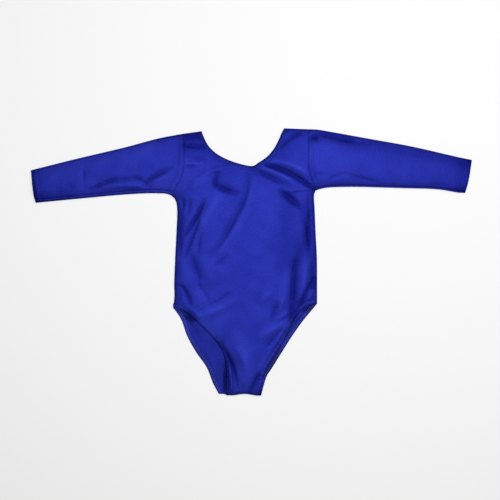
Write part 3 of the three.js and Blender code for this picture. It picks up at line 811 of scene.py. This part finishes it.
def sleeve_faces(name, xy, rise):
    """Heights of both layers of a sleeve, with its underarm seam and the seam allowance at the armhole."""
    top, inner_top = upper_faces(xy, rise)
    gap, along = nearest(xy, [samples(edges[name]["sleeve_bottom"])])
    gap_to_seam = gap - UNDERARM_SEAM[name]
    top = top + rounding(gap, 3) * gather(np.abs(gap_to_seam), along, UNDERARM_GATHER)
    top = top - bell(gap_to_seam, *UNDERARM_GROOVE) + bell(gap_to_seam + UNDERARM_RIDGE_GAP, *UNDERARM_RIDGE)
    arm, arm_along = nearest(xy, [samples(edges[name]["armhole"])])
    far_slope, near_slope = ALLOWANCE_SLOPES
    allowance = smooth((ALLOWANCE_WIDTH - arm) / far_slope) * smooth(arm / near_slope)
    inside = smooth(nearest(xy, closed_lines)[0] / SEAM_REACH)
    top = top + (ALLOWANCE_RISE * allowance - bell(arm, *ARMHOLE_SEAM)) * inside
    top = top + gather(arm, arm_along, ARMHOLE_GATHER) * inside
    inner_low, bottom = lower_faces(xy, 0)
    return top, np.minimum(inner_top, top - THINNEST), inner_low, bottom


def rolled_cuff(name, xy, top, inner_top):
    """The upper layer of a sleeve at its cuff: grooved by stitching, and round and bent down at its edge."""
    cuff_gap, _ = nearest(xy, [samples(edges[name]["cuff"])])
    seam_gap = CUFF_HEM - cuff_gap
    top = top - bell(seam_gap, *HEM_SEAM) - bell(seam_gap - CUFF_GROOVE, *STITCH_GROOVE)
    turn_width, share_left = CUFF_TURN
    top = inner_top + (top - inner_top) * (share_left + (1 - share_left) * rounding(cuff_gap, turn_width))
    roll_width, roll_depth = CUFF_ROLL[name]
    most = np.clip(inner_top - FOLD_LEVEL - CUFF_CLEARANCE, 0, roll_depth)
    drop = most * (1 - rounding(cuff_gap, roll_width))
    return top - drop, inner_top - drop


def lining_plan(plan):
    """The grid of a tube's inside: the thickness of the cloth further in at both of its folded edges."""
    most = 0.03
    fade = 6
    across = plan[:, -1] - plan[:, 0]
    inward = np.minimum(SHELL / np.linalg.norm(across, axis=1), most)[:, None]
    share = np.linspace(0, 1, plan.shape[1])[None]
    pull = inward * (1 - 2 * share) * np.abs(1 - 2 * share) ** fade
    return plan + pull[..., None] * across[:, None]


def tube_rings(plan, low, high):
    """Rings of points round a tube, along its underside and back along its top."""
    rows, columns, _ = plan.shape
    lower = np.dstack([plan, low.reshape(rows, columns)])
    upper = np.dstack([plan, high.reshape(rows, columns)])[:, ::-1]
    return np.concatenate([lower, upper[:, 1:-1]], axis=1)


def tube_faces(rows, around):
    """The faces of a tube's outside and inside, and the two rims that join them."""
    size = rows * around
    outer = grid_quads(rows, around, 0, wrap=True)
    lining = grid_quads(rows, around, size, wrap=True)[:, ::-1]
    j = np.arange(around)
    k = (j + 1) % around
    first = np.stack([j, size + j, size + k, k], -1)
    last = np.stack([j, k, size + k, size + j], -1) + (rows - 1) * around
    rims = np.concatenate([first, last])
    return np.vstack([outer, lining, rims]), rims.ravel()


def tube(name, side_name, start, stop, count, rise):
    """A flattened tube of cloth, open at both ends. The raised one is the turned hem at the cuff."""
    plan = sleeve_plan(side_name, start, stop, count)
    rows, columns, _ = plan.shape
    xy = plan.reshape(-1, 2)
    top, inner_top, inner_low, bottom = sleeve_faces(side_name, xy, rise)
    if rise:
        top, inner_top = rolled_cuff(side_name, xy, top, inner_top)
    floor = np.maximum(inner_low, bottom + THINNEST)
    roof = np.maximum(inner_top, floor + THINNEST)
    outside = tube_rings(plan, bottom, np.maximum(top, roof + THINNEST))
    inside = tube_rings(lining_plan(plan), floor, roof)
    around = outside.shape[1]
    points = np.vstack([outside.reshape(-1, 3), inside.reshape(-1, 3)])
    faces, rims = tube_faces(rows, around)
    way = unit(SHOULDER[side_name], CUFF_TOP[side_name])
    uv = np.column_stack([points[:, 1] * way[0] - points[:, 0] * way[1], points[:, :2] @ way])
    # painted shading on the tube's top; its underside and lining get none
    shade = upper_painted_shading(xy).reshape(rows, columns)
    painted_shading = np.zeros((2, rows, around))
    painted_shading[0, :, columns:] = shade[:, -2:0:-1]
    painted_shading[0][:, [0, columns - 1]] = shade[:, [0, -1]]
    return mesh_from(name, points, faces, uv, knit, rims, painted_shading.ravel()), 2 * plan_area(plan)


def stitch_faces(count):
    """The faces of so many stitches, each a short six-sided rod closed at both ends."""
    sides = STITCH_SIDES
    rod = grid_quads(len(STITCH_SECTIONS), sides, wrap=True)
    last = (len(STITCH_SECTIONS) - 1) * sides
    caps = [
        [0, 5, 2, 1],
        [2, 5, 4, 3],
        [last, last + 1, last + 2, last + 5],
        [last + 2, last + 3, last + 4, last + 5],
    ]
    size = sides * len(STITCH_SECTIONS)
    return (np.vstack([rod, caps])[None] + (np.arange(count) * size)[:, None, None]).reshape(-1, 4)


def stitches(name, path, heights, material, stitch):
    """Short rounded stitches along a line, half sunk into the cloth."""
    radius, _, zigzag = stitch
    arc = arc_lengths(path)
    count = max(2, int(arc[-1] / (STITCH_LENGTH + STITCH_GAP)))
    middle = (np.arange(count) + 0.5) * arc[-1] / count
    centre = along_line(middle, arc, path)
    way = unit_rows(along_line(middle + 1, arc, path) - along_line(middle - 1, arc, path))
    swing = np.where(np.arange(count) % 2 == 0, zigzag, -zigzag)[:, None]
    way = unit_rows(way + aside(way) * swing)
    rings = []
    for place, share in STITCH_SECTIONS:
        middle_line = centre + way * STITCH_LENGTH * place
        surface = heights(middle_line)
        for angle in np.arange(STITCH_SIDES) * 2 * np.pi / STITCH_SIDES:
            xy = middle_line + aside(way) * radius * share * math.cos(angle)
            rings.append(np.column_stack([xy, surface + radius * share * (math.sin(angle) + STITCH_PROUD)]))
    points = np.stack(rings, 1).reshape(-1, 3)
    piece = mesh_from(name, points, stitch_faces(count), np.zeros((len(points), 2)), material)
    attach(piece, "root")
    return piece


def new_material(name):
    """A material, its node tree and its shader."""
    material = bpy.data.materials.new(name)
    material.use_nodes = True
    return material, material.node_tree, material.node_tree.nodes["Principled BSDF"]


def set_inputs(node, values):
    for key, value in values.items():
        node.inputs[key].default_value = value


def node_at(tree, kind, x, inputs=None, **values):
    """A new node with its settings, and values for some of its inputs."""
    node = tree.nodes.new(kind)
    node.location = (x, 0)
    for key, value in values.items():
        setattr(node, key, value)
    set_inputs(node, inputs or {})
    return node


def add_share(tree, x, value, share, rest):
    """A share of one value, added to another value."""
    node = node_at(tree, "ShaderNodeMath", x, {1: share}, operation="MULTIPLY_ADD")
    tree.links.new(value, node.inputs[0])
    tree.links.new(rest, node.inputs[2])
    return node.outputs["Value"]


def ribs(tree, uv):
    """The knit's wales across the UV map and its fainter courses along it, as one value."""
    found = []
    for direction, scale, distortion in (("X", 330, 0.6), ("Y", 420, 0.0)):
        inputs = {"Scale": scale, "Distortion": distortion}
        wave = node_at(tree, "ShaderNodeTexWave", -950, inputs, wave_type="BANDS", bands_direction=direction)
        tree.links.new(uv, wave.inputs["Vector"])
        found.append(wave.outputs["Fac"])
    wales, courses = found
    return add_share(tree, -700, courses, COURSE_SHARE, wales)


def uneven_tone(tree):
    """A soft uneven level all over the garment."""
    place = node_at(tree, "ShaderNodeTexCoord", -1200)
    noise = node_at(tree, "ShaderNodeTexNoise", -950, {"Scale": 45, "Detail": 3})
    span = {"From Min": 0.3, "From Max": 0.7, "To Min": 0.09, "To Max": 0.175}
    level = node_at(tree, "ShaderNodeMapRange", -700, span)
    tree.links.new(place.outputs["Object"], noise.inputs["Vector"])
    tree.links.new(noise.outputs["Fac"], level.inputs["Value"])
    return level.outputs["Result"]


def flecks(tree, uv):
    """Small flecks of the knit's shine, drawn out along the wales."""
    drawn = node_at(tree, "ShaderNodeMapping", -1050, {"Scale": (1, 0.6, 1)})
    noise = node_at(tree, "ShaderNodeTexNoise", -950, {"Scale": 620})
    tree.links.new(uv, drawn.inputs["Vector"])
    tree.links.new(drawn.outputs["Vector"], noise.inputs["Vector"])
    return noise.outputs["Fac"]


def knit_material(name, colour, painted_shade_stop, roughness):
    """Fine ribbed knit with a soft shine: its ribs, an uneven level, flecks, and the mesh's painted shading,
    which darkens the colour towards a painted shade and brightens it towards a painted highlight."""
    material, tree, shader = new_material(name)
    link = tree.links.new
    uv = node_at(tree, "ShaderNodeUVMap", -1200, uv_map="cloth").outputs["UV"]
    rib = ribs(tree, uv)
    grain = add_share(tree, -500, rib, RIB_SHARE, uneven_tone(tree))
    speck = add_share(tree, -400, flecks(tree, uv), FLECK_SHARE, grain)
    # the painted shade and painted highlight that the mesh carries, mixed into the colour
    painted_shading_attribute = node_at(tree, "ShaderNodeAttribute", -400, attribute_name="painted_shading", attribute_type="GEOMETRY")
    shade = add_share(tree, -320, painted_shading_attribute.outputs["Fac"], PAINTED_SHADING_SHARE, speck)
    ramp = node_at(tree, "ShaderNodeValToRGB", -250)
    ramp.color_ramp.elements.new(0.5)
    # the stops: full painted shade, the knit's own colour, full painted highlight
    for stop, share in zip(ramp.color_ramp.elements, (painted_shade_stop, (1, 1, 1), PAINTED_HIGHLIGHT_SHARE)):
        stop.color = (*(np.array(colour) * share), 1)
    bump = node_at(tree, "ShaderNodeBump", -250, {"Strength": 0.35, "Distance": 0.0001})
    link(shade, ramp.inputs["Fac"])
    link(ramp.outputs["Color"], shader.inputs["Base Color"])
    link(rib, bump.inputs["Height"])
    link(bump.outputs["Normal"], shader.inputs["Normal"])
    set_inputs(shader, {"Roughness": roughness, "Metallic": 0.55, "Specular IOR Level": 0.03})
    return material


def thread_material(name, deep, bright):
    """Twisted thread, between a deep and a bright colour."""
    material, tree, shader = new_material(name)
    place = node_at(tree, "ShaderNodeTexCoord", -700)
    twist = node_at(tree, "ShaderNodeTexNoise", -500, {"Scale": 1500})
    ramp = node_at(tree, "ShaderNodeValToRGB", -250)
    ramp.color_ramp.elements[0].color = (*deep, 1)
    ramp.color_ramp.elements[1].color = (*bright, 1)
    tree.links.new(place.outputs["Object"], twist.inputs["Vector"])
    tree.links.new(twist.outputs["Fac"], ramp.inputs["Fac"])
    tree.links.new(ramp.outputs["Color"], shader.inputs["Base Color"])
    set_inputs(shader, {"Roughness": 0.5, "Specular IOR Level": 0.4})
    return material


def add_stage():
    """A wide pale floor, a hair below the garment."""
    material, _, shader = new_material("pale_floor")
    values = {"Base Color": (0.98, 0.98, 0.98, 1), "Roughness": 0.9, "Specular IOR Level": 0.1}
    set_inputs(shader, values)
    mesh = bpy.data.meshes.new("floor")
    half = 4.0
    level = -0.0004
    corners = [(-half, -half, level), (half, -half, level), (half, half, level), (-half, half, level)]
    mesh.from_pydata(corners, [], [(0, 1, 2, 3)])
    mesh.materials.append(material)
    floor = bpy.data.objects.new("floor", mesh)
    scene.collection.objects.link(floor)


def add_light(name, place, size, watts):
    data = bpy.data.lights.new(name, "AREA")
    data.shape = "SQUARE"
    data.size = size
    data.energy = watts
    light = bpy.data.objects.new(name, data)
    light.location = place
    direction = np.array([0, 0, 0]) - np.array(place)
    light.rotation_euler = (
        math.atan2(math.hypot(direction[0], direction[1]), -direction[2]),
        0,
        math.atan2(direction[1], direction[0]) - math.pi / 2,
    )
    scene.collection.objects.link(light)


def add_lights():
    add_light("key", (0.12, 0.35, 2.6), 0.8, 52)
    add_light("side", (1.3, 1.2, 1.7), 1.0, 10)
    world = bpy.data.worlds.new("studio")
    world.use_nodes = True
    set_inputs(world.node_tree.nodes["Background"], {"Color": (1, 1, 1, 1), "Strength": 0.12})
    scene.world = world


def add_camera():
    data = bpy.data.cameras.new("camera")
    data.sensor_width = SENSOR
    data.lens = SENSOR * CAMERA_HEIGHT / PICTURE_SIDE
    camera = bpy.data.objects.new("camera", data)
    camera.location = (PICTURE_MIDDLE[0] * MM, PICTURE_MIDDLE[1] * MM, CAMERA_HEIGHT * MM)
    scene.collection.objects.link(camera)
    scene.camera = camera


knit = knit_material("knit_face", KNIT_COLOUR, PAINTED_SHADE_SHARE, roughness=0.52)
knit_back = knit_material("knit_inside", INSIDE_COLOUR, PAINTED_SHADE_SHARE_INSIDE, roughness=0.6)
thread = thread_material("thread", *THREAD_COLOURS)
looper = thread_material("looper_thread", *LOOPER_COLOURS)


def front_hem_faces(xy):
    return upper_faces(xy, HEM_RISE)


def back_hem_faces(xy):
    return lower_faces(xy, HEM_RISE)


def stitch_rows(name, moved, width, faces, material, stitch):
    """The rows of stitching of one hem, as one piece each."""
    _, sink, _ = stitch
    share = np.linspace(0.02, 0.98, 160)
    made = []
    for number, row in enumerate(STITCH_ROWS, 1):
        path = moved(width - row)(share)
        heights = lambda xy: faces(xy)[0] - sink
        made.append(stitches(f"{name}_{number}", path, heights, material, stitch))
    return made


def build_body():
    """Front and back. The grooves of the seams show less inside."""
    front, area = body_panel("cloth_front_panel", neck_edge, crotch_edge, "front_leg",
                             upper_faces, upper_painted_shading, 1.0, knit)
    dress(front, "front_panel")
    back, area = body_panel("cloth_back_panel", back_neck_edge, back_crotch_edge, "back_leg",
                            lower_faces, lower_painted_shading, 0.35, knit_back)
    dress(back, "back_panel")


def build_hems():
    """The hems of the neck and the legs, each with its stitching."""
    neck_rows = (
        ("front", neck_edge, front_hem_faces, upper_painted_shading, "cloth_back_panel"),
        ("back", back_neck_edge, lower_faces, lower_painted_shading, "floor"),
    )
    for layer, edge, faces, painted_shading, below in neck_rows:
        moved = partial(neck_inset, edge)
        strip, area = hem_strip(f"cloth_neck_hem_{layer}", moved, NECK_HEM, faces, painted_shading, NECK_STATIONS,
                                knit, NECK_ROLL)
        rows = stitch_rows(f"stitches_neck_{layer}", moved, NECK_HEM, faces, thread, PLAIN_STITCH)
        dress(strip, f"neck_hem_{layer}", rows)
    leg_rows = (
        ("front", front_hem_faces, upper_painted_shading, "cloth_back_panel", knit, thread, PLAIN_STITCH),
        ("back", back_hem_faces, lower_painted_shading, "floor", knit_back, looper, ZIGZAG_STITCH),
    )
    for name, side in edges.items():
        for layer, faces, painted_shading, below, cloth, yarn, stitch in leg_rows:
            moved = partial(leg_inset, side[f"{layer}_leg"], name=name)
            strip, area = hem_strip(f"cloth_leg_hem_{layer}_{name}", moved, LEG_HEM, faces, painted_shading,
                                    LEG_STATIONS, cloth, LEG_ROLL, rim=0)
            rows = stitch_rows(f"stitches_leg_{layer}_{name}", moved, LEG_HEM, faces, yarn, stitch)
            dress(strip, f"leg_hem_{layer}_{name}", rows)


def cuff_stitches(name, length):
    """The rows of stitching round the top of a cuff."""
    side = edges[name]
    share = np.linspace(0.05, 0.95, 60)
    _, sink, _ = CUFF_STITCH
    heights = lambda xy: sleeve_faces(name, xy, CUFF_RISE)[0] - sink
    rows = []
    for number, row in enumerate(STITCH_ROWS, 1):
        at = np.array([1 - (CUFF_HEM - row) / length])
        low, high = side["sleeve_bottom"](at), side["sleeve_top"](at)
        path = patch(low, high, side["armhole"](share), side["cuff"](share), share, 1 - at, at)[0]
        rows.append(stitches(f"stitches_cuff_{name}_{number}", path, heights, thread, CUFF_STITCH))
    return rows


def build_sleeves():
    for name, side in edges.items():
        length = (side["sleeve_bottom"].length + side["sleeve_top"].length) / 2
        stop = 1 - CUFF_HEM / length
        sleeve, area = tube(f"cloth_sleeve_{name}", name, 0, stop, SLEEVE_STATIONS, 0.0)
        dress(sleeve, f"sleeve_{name}")
        cuff, area = tube(f"cloth_cuff_hem_{name}", name, stop, 1, CUFF_STATIONS, CUFF_RISE)
        dress(cuff, f"cuff_hem_{name}", cuff_stitches(name, length))


add_camera()
add_stage()
add_lights()
build_body()
build_hems()
build_sleeves()
